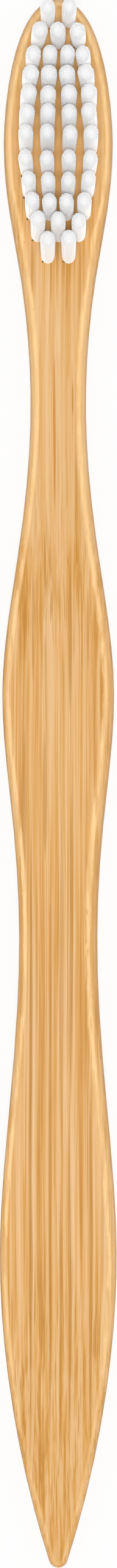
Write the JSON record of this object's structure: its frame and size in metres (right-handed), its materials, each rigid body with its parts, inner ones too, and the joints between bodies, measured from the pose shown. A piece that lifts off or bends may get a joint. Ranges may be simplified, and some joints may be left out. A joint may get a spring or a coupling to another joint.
{
  "type": "manual toothbrush",
  "caption": "Slim flat bamboo toothbrush with a wavy handle, a pointed tail, an oval head and rows of white nylon tufts pinned in drilled holes by small metal plates.",
  "frame": {"origin": "on the flat back, midway along the length and across the width, with the brush on its back", "axes": "+Y from the tail to the head, +Z from the back to the bristle tips, +X to the right as seen"},
  "size_m": [0.0142, 0.19, 0.0157],
  "materials": {
    "bamboo": "sanded bamboo with a thin satin oil, fine fibres along the length",
    "bristle": "white nylon filament, slightly translucent, end-rounded",
    "anchor_metal": "bright rolled brass strip"
  },
  "bodies": {
    "root": {"handle": "bamboo", "tuft_row_01_left": "bristle", "tuft_row_01_right": "bristle", "tuft_row_02_left": "bristle", "tuft_row_02_centre": "bristle", "tuft_row_02_right": "bristle", "tuft_row_03_outer_left": "bristle", "tuft_row_03_inner_left": "bristle", "tuft_row_03_inner_right": "bristle", "tuft_row_03_outer_right": "bristle", "tuft_row_04_outer_left": "bristle", "tuft_row_04_inner_left": "bristle", "tuft_row_04_inner_right": "bristle", "tuft_row_04_outer_right": "bristle", "tuft_row_05_outer_left": "bristle", "tuft_row_05_inner_left": "bristle", "tuft_row_05_inner_right": "bristle", "tuft_row_05_outer_right": "bristle", "tuft_row_06_outer_left": "bristle", "tuft_row_06_inner_left": "bristle", "tuft_row_06_inner_right": "bristle", "tuft_row_06_outer_right": "bristle", "tuft_row_07_outer_left": "bristle", "tuft_row_07_inner_left": "bristle", "tuft_row_07_inner_right": "bristle", "tuft_row_07_outer_right": "bristle", "tuft_row_08_outer_left": "bristle", "tuft_row_08_inner_left": "bristle", "tuft_row_08_inner_right": "bristle", "tuft_row_08_outer_right": "bristle", "tuft_row_09_outer_left": "bristle", "tuft_row_09_inner_left": "bristle", "tuft_row_09_inner_right": "bristle", "tuft_row_09_outer_right": "bristle", "tuft_row_10_outer_left": "bristle", "tuft_row_10_inner_left": "bristle", "tuft_row_10_inner_right": "bristle", "tuft_row_10_outer_right": "bristle", "tuft_row_11_left": "bristle", "tuft_row_11_centre": "bristle", "tuft_row_11_right": "bristle", "tuft_row_12_left": "bristle", "tuft_row_12_right": "bristle", "anchor_plates": "anchor_metal"}
  },
  "joints": []
}
